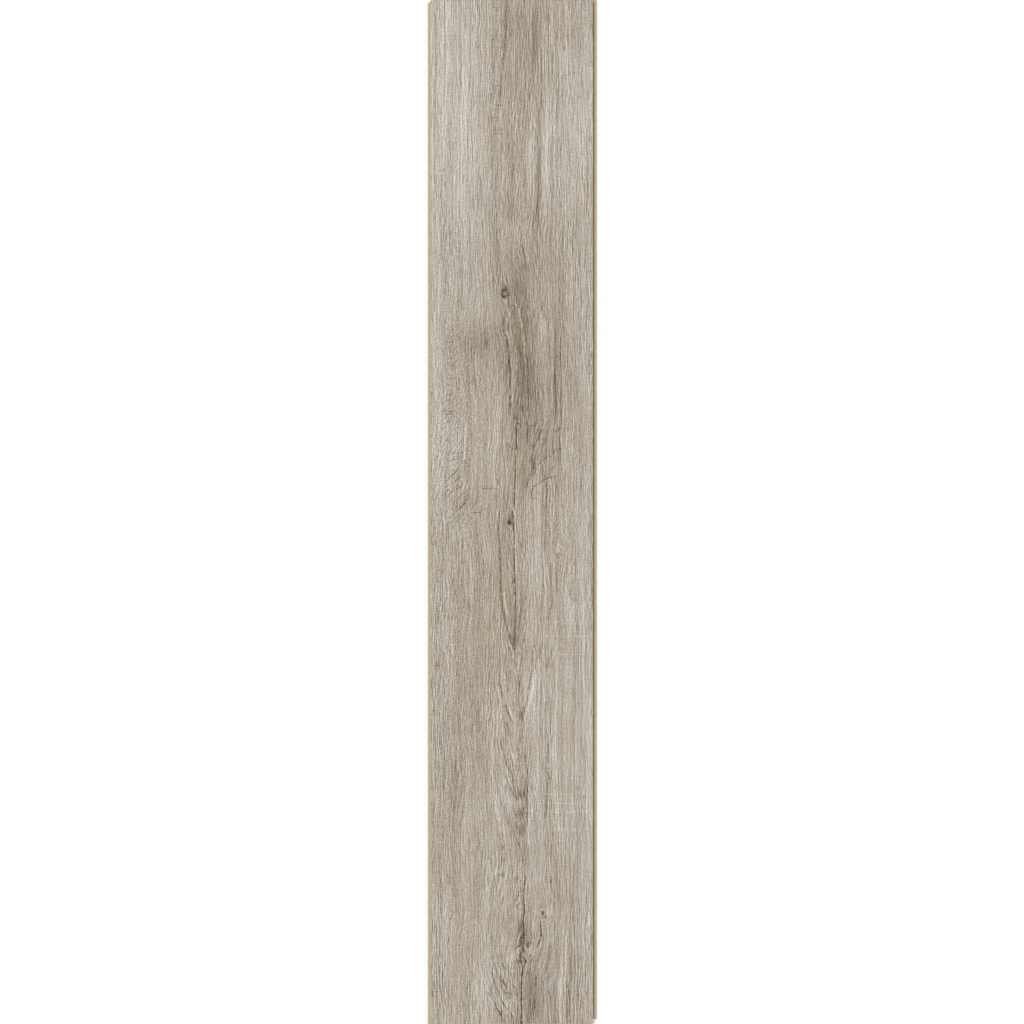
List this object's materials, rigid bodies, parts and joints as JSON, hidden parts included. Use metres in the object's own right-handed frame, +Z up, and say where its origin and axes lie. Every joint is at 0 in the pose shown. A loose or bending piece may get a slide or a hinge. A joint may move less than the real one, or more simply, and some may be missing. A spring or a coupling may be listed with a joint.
{
  "type": "laminate floor plank",
  "caption": "Long flat laminate floor plank with a grey-beige oak decor face and a milled click tongue and groove along its edges, laid flat.",
  "frame": {"origin": "on the underside, below the middle of the 1200 x 190 mm cover rectangle of the decor face", "axes": "+Y along the plank towards its groove end, +X across it towards its groove edge, +Z up out of the decor face"},
  "size_m": [0.1978, 1.2078, 0.008],
  "materials": {
    "laminate_board": "matte"
  },
  "bodies": {
    "root": {"laminate_plank": "laminate_board"}
  },
  "joints": []
}
